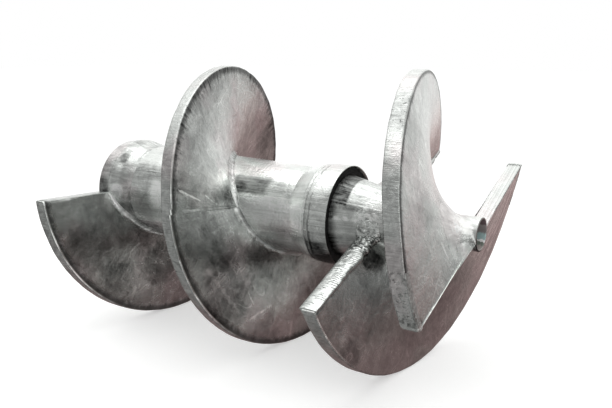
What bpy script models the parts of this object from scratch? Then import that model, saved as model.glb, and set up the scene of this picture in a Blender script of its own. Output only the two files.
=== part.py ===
"""Rotor of an archimedes screw: a rear section with a flight of one and a half turns,
and a front section with two half-turn blades on a cone, fitted into its socket.

The axis runs along X, with the nose at +X and Z up. The rotor lies on its flight rims.
A station is a distance along the axis from the rear end, in metres. An angle is in
degrees about the axis: 0 at the far side (+Y), 90 at the top, 180 at the near side,
270 at the bottom, and every flight moves towards the nose as its angle grows.
"""
import math
from dataclasses import dataclass

import bmesh
import bpy
import numpy as np

# Whole rotor
LENGTH = 0.748
FLIGHT_DIAMETER = 0.500
SIDES = 60                      # flats round every turned or swept piece
STEP = 360.0 / SIDES
SEAT = 0.0004                   # clearance between pieces that touch
ROOT_SEAT = 0.0008              # the same under a plate, whose straight root passes over the ridges
RIM = FLIGHT_DIAMETER / 2 / math.cos(math.radians(STEP / 2))
AXIS_HEIGHT = FLIGHT_DIAMETER / 2

# Shaft of the rear section: ring, shoulder, hub, neck and socket collar
BORE = 0.0704
RING_REAR_RADIUS = 0.0929
RING_FRONT_RADIUS = 0.0970
RING_LENGTH = 0.0289
RING_CHAMFER = 0.0015
SHOULDER_CREST = (0.0354, 0.0966)
SHOULDER_BREAK = (0.0542, 0.0925)
SHOULDER_END = (0.0731, 0.0858)
HUB_START = 0.0812
HUB_MIDDLE = (0.2590, 0.0835)
HUB_END = (0.4419, 0.0777)
NECK_MIDDLE = (0.4544, 0.0811)
NECK_END = (0.4693, 0.0850)
COLLAR_START = 0.4765
COLLAR_MIDDLE = (0.4886, 0.0869)
MOUTH = (0.5176, 0.0868)
COLLAR_BORE = 0.0830
COLLAR_BORE_START = 0.4866
COLLAR_LIP = 0.0858             # inner radius of the mouth's thin lip
SEAL_FRONT = 0.5136

# Shaft of the front section: spigot, cone and nose tube
SPIGOT_RADIUS = BORE - SEAT
SPIGOT_START = 0.3700
SPIGOT_CHAMFER = 0.006
CONE_START = (0.5146, 0.0705)
CONE_END = (0.7102, 0.0268)
NOSE_RADIUS = 0.0272
NOSE_BORE = 0.0240
NOSE_CHAMFER = 0.0008

# Flight of the rear section: a turn, a radial seam weld, then a half turn set slightly back
FLIGHT_START = 176.4
FLIGHT_SEAM = 532.0
FLIGHT_END = 726.0
TURN_STATION = 0.0370           # front face of the turn at 180 degrees
TURN_PITCH = 0.3072
TURN_THICKNESS = 0.0225
HALF_STATION = 0.3390           # front face of the half turn at 540 degrees
HALF_PITCH = 0.3094
HALF_THICKNESS = 0.0198
SEAM_WIDTH = 1.6                # degrees
SEAM_GAP = 0.15                 # degrees
SEAM_PROUD = 0.0006

# Blades of the front section
BLADE_PITCH = 0.3181
BLADE_A = dict(start=198.8, sweep=179.2, station=0.5871, thickness=0.0243, bow=0.134)
BLADE_B = dict(start=20.6, sweep=176.9, station=0.5885, thickness=0.0256, bow=0.0225)
BLADE_LEAN = 0.080              # how far a blade's root stands before its rim, per metre, midway
STRIP_SWEEP = 19.0              # degrees of rim that the hard-faced tip strip takes
STRIP_DEPTH = 0.012
STRIP_SHOULDER = 0.3            # degrees over which the rim steps down to the strip's seat

# Root fillets, weld overlay on the blades' leading edges, weld build-up at their roots
FILLET_LEG = 0.014
FILLET_END_LEG = 0.005
FILLET_RUNOUT = 30.0            # degrees over which a fillet grows from a free end
FILLET_LEANS = (0, 18, 36, 54, 72, 90)    # degrees round a fillet's concave side
FLARE_AXIAL = 0.045             # legs of the wide fillets that blend the blades into the nose
FLARE_RADIAL = 0.070
FLARE_DELAY = 20.0              # degrees from the leading edge on which it doesn't grow
FLARE_RUNOUT = 75.0
FLARE_MARGIN = 0.0007           # what it leaves free before the nose end
BEAD_HEIGHT = 0.008
BEAD_OUTER_RADIUS = 0.2470
BEAD_FALL = 0.70                # share of its height that the bead loses towards the rim
BEAD_REAR_SPILL = (0.0005, 0.0015)    # what it stands over the blade's faces, root and rim
BEAD_FRONT_SPILL = (0.0090, 0.0025)
BUILDUP_SWEEP = 38.0
BUILDUP_HEIGHT = 0.009
BUILDUP_REAR_SPILL = 0.003
BUILDUP_FRONT_SPILL = 0.012
BUILDUP_START_WIDTH = 0.75      # share of its full width where the build-up starts
BUILDUP_START_HEIGHT = 0.15

REAR_LINE = [
    (0.0, RING_REAR_RADIUS),
    (RING_LENGTH, RING_FRONT_RADIUS),
    SHOULDER_CREST,
    SHOULDER_BREAK,
    SHOULDER_END,
    HUB_MIDDLE,
    HUB_END,
    NECK_MIDDLE,
    NECK_END,
    COLLAR_MIDDLE,
    MOUTH,
]
FRONT_LINE = [CONE_START, CONE_END, (CONE_END[0] + SEAT, NOSE_RADIUS), (LENGTH, NOSE_RADIUS)]


def clear_scene():
    for thing in list(bpy.data.objects):
        bpy.data.objects.remove(thing, do_unlink=True)


def metal(name, color, roughness, metallic=1.0):
    """A plain Principled material of the piece's own colour."""
    material = bpy.data.materials.new(name)
    material.use_nodes = True
    shader = material.node_tree.nodes["Principled BSDF"]
    shader.inputs["Base Color"].default_value = (*color, 1.0)
    shader.inputs["Roughness"].default_value = roughness
    shader.inputs["Metallic"].default_value = metallic
    return material


def core_radius(station):
    """Outer radius of the shaft at a station, on whichever section shows there."""
    line = REAR_LINE if station <= MOUTH[0] else FRONT_LINE
    stations, radii = zip(*line)
    return float(np.interp(station, stations, radii))


def seat_radii(start, end, seat=SEAT):
    """Radii at two stations of a straight line that lies just clear of the shaft between them."""
    first = core_radius(start)
    last = core_radius(end)
    low, high = sorted((start, end))
    lift = 0.0
    for station, radius in REAR_LINE + FRONT_LINE:
        if low < station < high:
            share = (station - start) / (end - start)
            lift = max(lift, radius - (first + (last - first) * share))
    return first + lift + seat, last + lift + seat


def place(station, radius, angle):
    """The point of the frame at a station, a radius and an angle."""
    turn = math.radians(angle)
    return (
        station - LENGTH / 2,
        radius * math.cos(turn),
        radius * math.sin(turn) + AXIS_HEIGHT,
    )


def add_solid(name, points, faces, material):
    """One closed object, its faces turned outwards and its round sides shaded smooth."""
    mesh = bpy.data.meshes.new(name)
    mesh.from_pydata(points, [], faces)
    body = bmesh.new()
    body.from_mesh(mesh)
    bmesh.ops.recalc_face_normals(body, faces=body.faces)
    body.to_mesh(mesh)
    body.free()
    mesh.shade_smooth()
    mesh.set_sharp_from_angle(angle=math.radians(30))
    mesh.materials.append(material)
    solid = bpy.data.objects.new(name, mesh)
    bpy.context.scene.collection.objects.link(solid)
    return solid


def turned(name, profile, material, capped=False):
    """A piece turned about the axis: a closed ring section, or a capped outline of a solid."""
    count = len(profile)
    angles = [STEP * (index + 0.5) for index in range(SIDES)]
    points = [place(station, radius, angle) for angle in angles for station, radius in profile]
    faces = []
    for side in range(SIDES):
        here = side * count
        there = (side + 1) % SIDES * count
        for row in range(count - 1 if capped else count):
            following = (row + 1) % count
            faces.append((here + row, here + following, there + following, there + row))
    if capped:
        faces.append([side * count for side in range(SIDES)])
        faces.append([side * count + count - 1 for side in range(SIDES)])
    return add_solid(name, points, faces, material)


def swept(name, angles, section, material):
    """A section of (station, radius) points carried round the axis and capped at both ends.

    Each twisted quad is split from its inner corner at one angle to its outer corner at
    the next, so that faces of two pieces that lie side by side stay parallel.
    """
    rings = [section(angle) for angle in angles]
    count = len(rings[0])
    points = [place(*corner, angle) for angle, ring in zip(angles, rings) for corner in ring]
    faces = []
    for index, ring in enumerate(rings[:-1]):
        here = index * count
        there = here + count
        for row in range(count):
            following = (row + 1) % count
            a, b = here + row, here + following
            c, d = there + following, there + row
            if ring[row][1] <= ring[following][1]:
                faces += [(a, b, c), (a, c, d)]
            else:
                faces += [(a, b, d), (b, c, d)]
    faces.append(list(range(count)))
    faces.append(list(range((len(rings) - 1) * count, len(rings) * count)))
    return add_solid(name, points, faces, material)


def angle_steps(start, end):
    """The angles of the flats' edges between two angles, with both ends."""
    first = math.ceil((start + 1.0) / STEP - 0.5)
    last = math.floor((end - 1.0) / STEP - 0.5)
    return [start] + [STEP * (index + 0.5) for index in range(first, last + 1)] + [end]


@dataclass
class Plate:
    """A helical plate: where its front face lies at an angle, and how thick it is."""
    start: float
    end: float
    station: float
    station_angle: float
    pitch: float
    thickness: float
    free_start: float
    free_end: float
    bow: float = 0.0
    lean: float = 0.0

    def front(self, angle, radius=RIM):
        """Station of the front face, whose root leads its rim midway along the blade."""
        turns = (angle - self.station_angle) / 360.0
        rim_station = self.station + self.pitch * turns + self.bow * turns * (turns - 0.5)
        share = (angle - self.free_start) / (self.free_end - self.free_start)
        return rim_station + self.lean * math.sin(math.pi * share) * (RIM - radius)

    def rear(self, angle, radius=RIM):
        return self.front(angle, radius) - self.thickness

    def face(self, side, angle, radius):
        return self.front(angle, radius) if side > 0 else self.rear(angle, radius)

    def root(self, side, angle):
        """Station of the front (+1) or rear (-1) face where it meets the shaft."""
        radius = core_radius(self.face(side, angle, core_radius(self.front(angle))))
        return self.face(side, angle, radius)

    def legs(self, side, angle):
        """Axial and radial leg of a root fillet, which grows from the plate's free ends.

        On the leaning blades only the leading end is free, because the nose ties the
        other one, and the front fillet is the wide flare that ends at the nose.
        """
        free = angle - self.free_start
        if not self.lean:
            free = min(free, self.free_end - angle)
        free = max(0.0, free)
        if not self.lean or side < 0:
            share = min(1.0, free / FILLET_RUNOUT)
            leg = FILLET_END_LEG + (FILLET_LEG - FILLET_END_LEG) * share
            return leg, leg
        share = min(1.0, max(0.0, free - FLARE_DELAY) / FLARE_RUNOUT)
        axial = FILLET_END_LEG + (FLARE_AXIAL - FILLET_END_LEG) * share
        radial = FILLET_END_LEG + (FLARE_RADIAL - FILLET_END_LEG) * share
        return min(axial, LENGTH - FLARE_MARGIN - self.root(side, angle)), radial


def fillet_rows(root, leg):
    """Radii of the rows of a fillet's face, from the root to the fillet's top."""
    return [root + leg * (1.0 - math.sin(math.radians(lean))) for lean in reversed(FILLET_LEANS)]


def plate_section(plate, angle, rim, proud=0.0):
    """Outline of a plate, with rows up to its fillets' tops that match the fillets' own."""
    rear_root, front_root = seat_radii(plate.root(-1, angle), plate.root(1, angle), ROOT_SEAT)
    outline = []
    for side, root in ((1, front_root), (-1, rear_root)):
        rows = fillet_rows(root, plate.legs(side, angle)[1])
        rows += [(rows[-1] + rim) / 2, rim]
        outline.append([(plate.face(side, angle, row) + side * proud, row) for row in rows])
    return outline[0] + outline[1][::-1]


def helical_plate(name, plate, material, strip_angle=None):
    """A plate from its start to its end, with its rim cut back from strip_angle on."""
    angles = angle_steps(plate.start, plate.end)
    if strip_angle is not None:
        cut = [strip_angle - STRIP_SHOULDER, strip_angle]
        clear = [angle for angle in angles if abs(angle - strip_angle) > STEP / 4]
        angles = sorted(clear + cut)

    def section(angle):
        cut_back = strip_angle is not None and angle >= strip_angle
        return plate_section(plate, angle, RIM - STRIP_DEPTH if cut_back else RIM)

    return swept(name, angles, section, material)


def fillet_base(first, last):
    """Three points just clear of the shaft, the middle one where the cone meets the nose."""
    bend = CONE_END[0] + SEAT
    if min(first, last) < bend < max(first, last):
        return [(station, core_radius(station) + SEAT) for station in (first, bend, last)]
    first_radius, last_radius = seat_radii(first, last)
    middle = ((first + last) / 2, (first_radius + last_radius) / 2)
    return [(first, first_radius), middle, (last, last_radius)]


def root_fillet(name, plate, side, start, end, material):
    """A concave weld fillet between the shaft and the front (+1) or rear (-1) of a plate."""

    def section(angle):
        axial, radial = plate.legs(side, angle)
        first = plate.root(side, angle) + side * SEAT
        last = first + side * (axial - SEAT)
        base = fillet_base(first, last)
        stations, radii = zip(*sorted(base))
        corners = [base[1]]
        for row in fillet_rows(base[0][1], radial):
            corners.append((plate.face(side, angle, row) + side * SEAT, row))
        for lean in FILLET_LEANS[1:]:
            share = 1.0 - math.cos(math.radians(lean))
            under = float(np.interp(first + (last - first) * share, stations, radii))
            radius = under + radial * (1.0 - math.sin(math.radians(lean)))
            face = plate.face(side, angle, radius) + side * SEAT
            corners.append((face + (last - face) * share, radius))
        return corners

    return swept(name, angle_steps(start, end), section, material)


def tip_strip(name, plate, start, material):
    """The hard-faced strip let into a blade's rim from start to the blade's end."""
    inner = RIM - STRIP_DEPTH + SEAT

    def section(angle):
        return [(plate.front(angle, inner), inner), (plate.front(angle), RIM),
                (plate.rear(angle), RIM), (plate.rear(angle, inner), inner)]

    return swept(name, angle_steps(start, plate.end), section, material)


def edge_bead(name, plate, material):
    """Weld overlay along a blade's leading edge, half round, that spills over its faces."""
    turn = math.radians(plate.start)
    along = (math.cos(turn), math.sin(turn))
    before = (math.sin(turn), -math.cos(turn))
    rows = 10
    lengths = 13
    points = []
    for length in range(lengths):
        share = length / (lengths - 1)
        height = BEAD_HEIGHT * (1.0 - BEAD_FALL * share)
        rear_spill = BEAD_REAR_SPILL[0] + (BEAD_REAR_SPILL[1] - BEAD_REAR_SPILL[0]) * share
        front_spill = BEAD_FRONT_SPILL[0] + (BEAD_FRONT_SPILL[1] - BEAD_FRONT_SPILL[0]) * share
        rear = plate.rear(plate.start) - rear_spill
        front = plate.front(plate.start) + front_spill
        for row in range(rows):
            swing = math.pi * row / (rows - 1)
            station = (rear + front) / 2 - (front - rear) / 2 * math.cos(swing)
            root = core_radius(station) + BUILDUP_HEIGHT + 3 * SEAT
            radius = root + (BEAD_OUTER_RADIUS - root) * share
            lift = SEAT + height * math.sin(swing)
            points.append((
                station - LENGTH / 2,
                radius * along[0] + lift * before[0],
                radius * along[1] + lift * before[1] + AXIS_HEIGHT,
            ))
    faces = []
    for length in range(lengths - 1):
        here = length * rows
        there = here + rows
        for row in range(rows):
            following = (row + 1) % rows
            faces.append((here + row, here + following, there + following))
            faces.append((here + row, there + following, there + row))
    faces.append(list(range(rows)))
    faces.append(list(range((lengths - 1) * rows, lengths * rows)))
    return add_solid(name, points, faces, material)


def root_buildup(name, plate, material):
    """A mound of weld metal on the cone that rises towards a blade's leading edge."""
    rear = plate.rear(plate.start) - BUILDUP_REAR_SPILL
    front = plate.front(plate.start) + BUILDUP_FRONT_SPILL

    def section(angle):
        share = (angle - (plate.start - BUILDUP_SWEEP)) / BUILDUP_SWEEP
        width_share = BUILDUP_START_WIDTH + (1 - BUILDUP_START_WIDTH) * math.sqrt(share)
        half_width = (front - rear) / 2 * width_share
        height = BUILDUP_HEIGHT * (BUILDUP_START_HEIGHT + (1 - BUILDUP_START_HEIGHT) * share)
        middle = (rear + front) / 2
        first_radius, last_radius = seat_radii(middle - half_width, middle + half_width)
        corners = []
        for swing in (0, 36, 72, 108, 144, 180):
            across = 0.5 - 0.5 * math.cos(math.radians(swing))
            base = first_radius + (last_radius - first_radius) * across
            lift = height * math.sin(math.radians(swing))
            corners.append((middle + half_width * (2 * across - 1), base + lift))
        return corners

    angles = angle_steps(plate.start - BUILDUP_SWEEP, plate.start - SEAM_GAP * 2)
    return swept(name, angles, section, material)


def build_rear_shaft():
    steel = metal("hub_steel", (0.52, 0.53, 0.52), 0.30)
    dark = metal("seal_rubber", (0.01, 0.01, 0.01), 0.75, metallic=0.0)
    weld = metal("seam_steel", (0.45, 0.46, 0.45), 0.38)
    turned("rear_ring", [
        (0.0, BORE),
        (0.0, RING_REAR_RADIUS - RING_CHAMFER),
        (RING_CHAMFER, RING_REAR_RADIUS),
        (RING_LENGTH, RING_FRONT_RADIUS),
        (RING_LENGTH, BORE),
    ], steel)
    turned("rear_shoulder", [
        (RING_LENGTH + SEAT, BORE),
        (RING_LENGTH + SEAT, core_radius(RING_LENGTH + SEAT)),
        SHOULDER_CREST,
        SHOULDER_BREAK,
        SHOULDER_END,
        (HUB_START, core_radius(HUB_START)),
        (HUB_START, BORE),
    ], steel)
    turned("hub_tube", [
        (HUB_START + SEAT, BORE),
        (HUB_START + SEAT, core_radius(HUB_START)),
        HUB_MIDDLE,
        HUB_END,
        (HUB_END[0], BORE),
    ], steel)
    turned("hub_neck", [
        (HUB_END[0] + SEAT, BORE),
        (HUB_END[0] + SEAT, HUB_END[1]),
        NECK_MIDDLE,
        NECK_END,
        (NECK_END[0], BORE),
    ], steel)
    turned("collar_weld", [
        (NECK_END[0] + SEAT, BORE),
        (NECK_END[0] + SEAT, core_radius(NECK_END[0] + SEAT)),
        (COLLAR_START - SEAT, core_radius(COLLAR_START - SEAT)),
        (COLLAR_START - SEAT, BORE),
    ], weld)
    turned("socket_collar", [
        (COLLAR_START, BORE),
        (COLLAR_START, core_radius(COLLAR_START)),
        COLLAR_MIDDLE,
        MOUTH,
        (MOUTH[0], COLLAR_LIP),
        (SEAL_FRONT, COLLAR_BORE),
        (COLLAR_BORE_START, COLLAR_BORE),
        (COLLAR_BORE_START, BORE),
    ], steel)
    turned("mouth_seal", [
        (COLLAR_BORE_START + SEAT, BORE),
        (COLLAR_BORE_START + SEAT, COLLAR_BORE - SEAT),
        (SEAL_FRONT, COLLAR_BORE - SEAT),
        (SEAL_FRONT, BORE),
    ], dark)


def build_flight():
    steel = metal("flight_steel", (0.42, 0.43, 0.42), 0.34)
    weld = metal("flight_weld_steel", (0.60, 0.61, 0.60), 0.24)
    before = FLIGHT_SEAM - SEAM_WIDTH / 2
    after = FLIGHT_SEAM + SEAM_WIDTH / 2
    turn = Plate(FLIGHT_START, before - SEAM_GAP, TURN_STATION, 180.0, TURN_PITCH,
                 TURN_THICKNESS, FLIGHT_START, FLIGHT_END)
    half = Plate(after + SEAM_GAP, FLIGHT_END, HALF_STATION, 540.0, HALF_PITCH,
                 HALF_THICKNESS, FLIGHT_START, FLIGHT_END)
    helical_plate("flight_rear_turn", turn, steel)
    helical_plate("flight_front_half", half, steel)
    helical_plate("flight_seam_weld", seam_plate(turn, half, before, after), weld)
    for side, word in ((1, "front"), (-1, "rear")):
        root_fillet(f"flight_turn_weld_{word}", turn, side, FLIGHT_START, turn.end, weld)
        root_fillet(f"flight_half_weld_{word}", half, side, half.start, FLIGHT_END, weld)


def seam_plate(turn, half, start, end):
    """The short plate of weld metal that bridges the step between the turn and the half."""
    front = (turn.front(start) + half.front(end)) / 2 + SEAM_PROUD
    rear = (turn.rear(start) + half.rear(end)) / 2 - SEAM_PROUD
    return Plate(start, end, front, (start + end) / 2, TURN_PITCH,
                 front - rear, FLIGHT_START, FLIGHT_END)


def build_front_shaft():
    steel = metal("cone_steel", (0.50, 0.51, 0.50), 0.30)
    turned("spigot", [
        (SPIGOT_START, SPIGOT_RADIUS - SPIGOT_CHAMFER),
        (SPIGOT_START + SPIGOT_CHAMFER, SPIGOT_RADIUS),
        (CONE_START[0] - SEAT, SPIGOT_RADIUS),
    ], steel, capped=True)
    turned("core_cone", [CONE_START, CONE_END], steel, capped=True)
    turned("nose_tube", [
        (CONE_END[0] + SEAT, NOSE_BORE),
        (CONE_END[0] + SEAT, NOSE_RADIUS),
        (LENGTH - NOSE_CHAMFER, NOSE_RADIUS),
        (LENGTH, NOSE_RADIUS - NOSE_CHAMFER),
        (LENGTH, NOSE_BORE),
    ], steel)


def build_blade(name, sizes):
    steel = metal(f"{name}_steel", (0.46, 0.46, 0.46), 0.34)
    weld = metal(f"{name}_weld_steel", (0.66, 0.67, 0.66), 0.26)
    hard = metal(f"{name}_hard_facing", (0.30, 0.31, 0.30), 0.48)
    start = sizes["start"]
    end = start + sizes["sweep"]
    plate = Plate(start, end, sizes["station"], start, BLADE_PITCH, sizes["thickness"],
                  start, end, sizes["bow"], BLADE_LEAN)
    strip_angle = end - STRIP_SWEEP
    helical_plate(name, plate, steel, strip_angle)
    root_fillet(f"{name}_weld_front", plate, 1, start, end, weld)
    root_fillet(f"{name}_weld_rear", plate, -1, start, end, weld)
    edge_bead(f"{name}_edge_bead", plate, weld)
    root_buildup(f"{name}_root_buildup", plate, weld)
    tip_strip(f"{name}_tip_strip", plate, strip_angle + SEAM_GAP, hard)


clear_scene()
build_rear_shaft()
build_flight()
build_front_shaft()
build_blade("blade_a", BLADE_A)
build_blade("blade_b", BLADE_B)
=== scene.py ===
"""Archimedes screw rotor: the looks of each piece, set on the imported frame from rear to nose.

A station is a distance along the axis from the rear end. An angle is in degrees about the
axis: 0 at the far side, 90 at the top, 180 at the near side, 270 at the bottom.
"""
import math
from dataclasses import dataclass

import bmesh
import bpy
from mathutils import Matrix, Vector, noise


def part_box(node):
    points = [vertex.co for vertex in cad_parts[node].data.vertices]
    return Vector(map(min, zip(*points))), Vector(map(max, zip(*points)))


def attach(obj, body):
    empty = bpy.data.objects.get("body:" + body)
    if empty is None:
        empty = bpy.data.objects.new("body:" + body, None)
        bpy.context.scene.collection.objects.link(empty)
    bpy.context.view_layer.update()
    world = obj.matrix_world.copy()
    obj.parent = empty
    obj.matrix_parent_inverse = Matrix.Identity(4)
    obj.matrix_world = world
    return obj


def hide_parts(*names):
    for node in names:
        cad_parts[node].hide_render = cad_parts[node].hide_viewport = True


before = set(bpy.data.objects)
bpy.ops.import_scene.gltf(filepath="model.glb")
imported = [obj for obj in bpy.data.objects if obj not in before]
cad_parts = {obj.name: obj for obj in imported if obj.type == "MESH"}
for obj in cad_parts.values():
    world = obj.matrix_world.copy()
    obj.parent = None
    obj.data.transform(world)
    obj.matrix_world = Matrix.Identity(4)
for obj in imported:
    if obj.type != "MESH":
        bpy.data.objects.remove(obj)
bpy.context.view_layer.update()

# The camera stands before the nose, on the near side and a little above the rotor,
# with the lens that gives the photograph's perspective.
CAMERA_PLACE = (0.6621, -0.9926, 0.5323)
CAMERA_DROP = 13.171
CAMERA_TURN = 31.454
LENS = 39.307
SENSOR = 36.0

lens = bpy.data.cameras.new("lens")
lens.lens = LENS
lens.sensor_width = SENSOR
camera = bpy.data.objects.new("camera", lens)
camera.location = CAMERA_PLACE
camera.rotation_euler = (math.radians(90 - CAMERA_DROP), 0, math.radians(CAMERA_TURN))
bpy.context.scene.collection.objects.link(camera)
bpy.context.scene.camera = camera
bpy.context.scene.view_settings.view_transform = "Standard"

# Rear ring and shoulder: turned steel, welded to the rear end of the hub and ground over.
# Their softened edges leave a shallow groove between the ring and the shoulder.
ring_low, ring_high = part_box("rear_ring")
REAR_END = ring_low.x
AXIS_HEIGHT = (ring_low.z + ring_high.z) / 2
BORE = 0.0704
RING_REAR = (0.0, 0.0929)
RING_FRONT = (0.0289, 0.0970)
SHOULDER_LINE = [(0.0292, 0.0968), (0.0354, 0.0966), (0.0542, 0.0925), (0.0731, 0.0858)]
HUB_START = (0.0812, 0.0857)
RING_EDGE = 0.0016
ROUND_STEPS = 240
SHARP_ANGLE = 40


class Field:
    """A socket of a finish's node tree; Python's operators on it add Math nodes."""

    def __init__(self, tree, socket=None):
        self.tree = tree
        self.socket = socket

    def node(self, kind, sockets=None, output=0, **settings):
        """One output of a new node, with its settings made and its inputs fed."""
        made = self.tree.nodes.new(kind)
        for setting, value in settings.items():
            setattr(made, setting, value)
        feed(made, sockets or {})
        return Field(self.tree, made.outputs[output])

    def math(self, operation, *values):
        return self.node("ShaderNodeMath", dict(enumerate(values)), operation=operation)

    def vector_math(self, operation, sockets, output=0):
        return self.node("ShaderNodeVectorMath", sockets, output, operation=operation)

    def __add__(self, other):
        return self.math("ADD", self, other)

    def __radd__(self, other):
        return self.math("ADD", other, self)

    def __sub__(self, other):
        return self.math("SUBTRACT", self, other)

    def __rsub__(self, other):
        return self.math("SUBTRACT", other, self)

    def __mul__(self, other):
        return self.math("MULTIPLY", self, other)

    def __rmul__(self, other):
        return self.math("MULTIPLY", other, self)

    def __truediv__(self, other):
        return self.math("DIVIDE", self, other)

    def __abs__(self):
        return self.math("ABSOLUTE", self)

    def step(self, low, high):
        """0 at low and 1 at high, smooth between them; low may be the larger value."""
        return self.node("ShaderNodeMapRange", {"Value": self, "From Min": low, "From Max": high},
                         interpolation_type="SMOOTHSTEP")

    def part(self, index):
        return self.node("ShaderNodeSeparateXYZ", {0: self}, index)

    def vector(self, x, y, z):
        return self.node("ShaderNodeCombineXYZ", {0: x, 1: y, 2: z})

    def clouds(self, scale, detail=3.0, roughness=0.55, distortion=0.0):
        """Soft noise at this point, mostly between 0.3 and 0.7."""
        return self.node("ShaderNodeTexNoise", {
            "Vector": self, "Scale": scale, "Detail": detail,
            "Roughness": roughness, "Distortion": distortion})

    def threads(self, scale, width, distortion=1.5):
        """Thin winding lines: 1 on the line where soft noise crosses its middle value."""
        return abs(self.clouds(scale, 1.0, 0.5, distortion) - 0.5).step(width, width * 0.2)

    def blend(self, first, second):
        """The first colour where this field is 0, the second where it is 1."""
        return self.node("ShaderNodeMix", {0: self, 6: first, 7: second}, 2, data_type="RGBA")

    def shade(self, tone):
        """This colour made lighter or darker by a tone."""
        return self.vector_math("SCALE", {0: self, "Scale": tone})

    def near(self, centre, reach, ragged):
        """1 at a place on the part and 0 from reach on, with an edge roughened by noise."""
        gap = self.vector_math("DISTANCE", {0: self, 1: centre}, 1)
        gap = gap + (self.clouds(60, 3) - 0.5) * ragged
        return gap.step(reach, reach * 0.4)

    def scratch(self, start, end, width):
        """1 along a scratch from one place on the part to another, broken by noise."""
        along = end - start
        offset = self.vector_math("SUBTRACT", {0: self, 1: start})
        share = self.vector_math("DOT_PRODUCT", {0: offset, 1: along / along.length_squared}, 1)
        share = self.node("ShaderNodeClamp", {0: share})
        foot = self.vector_math("SCALE", {0: along, "Scale": share})
        gap = self.vector_math("DISTANCE", {0: offset, 1: foot}, 1)
        gap = gap + (self.clouds(110, 4, 0.7) - 0.5) * width * 5.0
        return gap.step(width * 1.2, width * 0.2)


def feed(made, values):
    """Gives the named inputs of a node their values, or links them to fields."""
    for key, value in values.items():
        if isinstance(value, Field):
            value.tree.links.new(value.socket, made.inputs[key])
        else:
            made.inputs[key].default_value = value


GREEN_GREY = (0.970, 1.0, 0.975, 1.0)
PINK_GREY = (1.0, 0.96, 0.955, 1.0)


class Finish:
    """A steel finish being mixed: its material and the fields that its surface varies by."""

    def __init__(self, name):
        self.material = bpy.data.materials.new(name)
        self.material.use_nodes = True
        tree = self.material.node_tree
        self.shader = tree.nodes["Principled BSDF"]
        self.point = Field(tree).node("ShaderNodeTexCoord", output=3)
        across = self.point.part(1)
        rise = self.point.part(2) - AXIS_HEIGHT
        self.station = self.point.part(0) - REAR_END
        self.radius = across.math("SQRT", across * across + rise * rise)
        self.cosine = across / self.radius
        self.sine = rise / self.radius
        self.from_top = across.math("ARCTAN2", 0.0 - across, rise) * math.degrees(1.0)

    def round_the_axis(self, along, around, outwards=0.0):
        """A point for noise, with its own scale along the axis, round it and outwards."""
        return self.point.vector(self.station * along + self.radius * outwards,
                                 self.cosine * around, self.sine * around)

    def mark(self, station, half_length, from_top, half_turn):
        """1 on an oblong mark on the shaft, of rough outline; from_top is in degrees."""
        rough = (self.point.clouds(70, 4, 0.65) - 0.5) * 0.9
        along = abs(self.station - station) / half_length + rough
        around = abs(self.from_top - from_top) / half_turn + rough
        return along.step(1.15, 0.80) * around.step(1.15, 0.80)

    def before(self, angle):
        """How far a point lies before the half plane at an angle, in metres."""
        turn = math.radians(angle)
        return self.radius * (self.cosine * math.sin(turn) - self.sine * math.cos(turn))

    def add_stains_and_painted_light(self, tone, stains_and_painted_light):
        """The tone with its stains and smears, and its spots of painted light and shade."""
        for station, radius, angle, reach, amount in stains_and_painted_light:
            spot = self.point.near(place(station, radius, angle), reach, reach * 0.9)
            tone = tone + spot * amount
        return tone

    def scored(self, tone, scratches):
        """The tone with its bright scratches."""
        for start, end, width, amount in scratches:
            tone = tone + self.point.scratch(place(*start), place(*end), width) * amount
        return tone

    def tinted(self, tone, pink=0.5):
        """Grey of this tone that wanders between a greenish and a pinkish cast."""
        cast = (self.point.clouds(11, 2) + (pink - 0.5)).step(0.40, 0.60)
        return cast.blend(GREEN_GREY, PINK_GREY).shade(tone)

    def set(self, color, roughness, height, depth, metallic=1.0):
        """Feeds the shader; height is 0 to 1 and depth is its real depth in metres."""
        bump = self.point.node("ShaderNodeBump", {
            "Strength": 1.0, "Distance": depth, "Height": height})
        feed(self.shader, {
            "Base Color": color, "Roughness": roughness, "Normal": bump, "Metallic": metallic})
        return self.material


def place(station, radius, angle):
    turn = math.radians(angle)
    return Vector((REAR_END + station, radius * math.cos(turn),
                   AXIS_HEIGHT + radius * math.sin(turn)))


def softened(outline, width, steps=3):
    """A closed outline with each corner rounded off over a width, or less on a short side."""
    rounded = []
    for index, corner in enumerate(outline):
        corner = Vector(corner)
        ends = []
        for other in (outline[index - 1], outline[(index + 1) % len(outline)]):
            side = Vector(other) - corner
            ends.append(corner + side.normalized() * min(width, side.length * 0.45))
        for step in range(steps + 1):
            share = step / steps
            rounded.append(ends[0] * (1 - share) ** 2 + corner * 2 * share * (1 - share)
                           + ends[1] * share ** 2)
    return rounded


def skin(node, rings, finish, closed=False):
    """A closed mesh through rings of points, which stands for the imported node."""
    count = len(rings[0])
    turns = len(rings) if closed else len(rings) - 1
    faces = []
    for index in range(turns):
        here = index * count
        there = (index + 1) % len(rings) * count
        for row in range(count):
            following = (row + 1) % count
            faces.append((here + row, here + following, there + following, there + row))
    if not closed:
        for end in (0, (len(rings) - 1) * count):
            for row in range(count // 2 - 1):
                faces.append((end + row, end + row + 1,
                              end + count - 2 - row, end + count - 1 - row))
    mesh = bpy.data.meshes.new(node + "_finished")
    mesh.from_pydata([point for ring in rings for point in ring], [], faces)
    body = bmesh.new()
    body.from_mesh(mesh)
    bmesh.ops.recalc_face_normals(body, faces=body.faces)
    body.to_mesh(mesh)
    body.free()
    mesh.shade_smooth()
    mesh.set_sharp_from_angle(angle=math.radians(SHARP_ANGLE))
    mesh.materials.append(finish)
    piece = bpy.data.objects.new(node + "_finished", mesh)
    bpy.context.scene.collection.objects.link(piece)
    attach(piece, "root")
    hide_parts(node)


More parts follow.
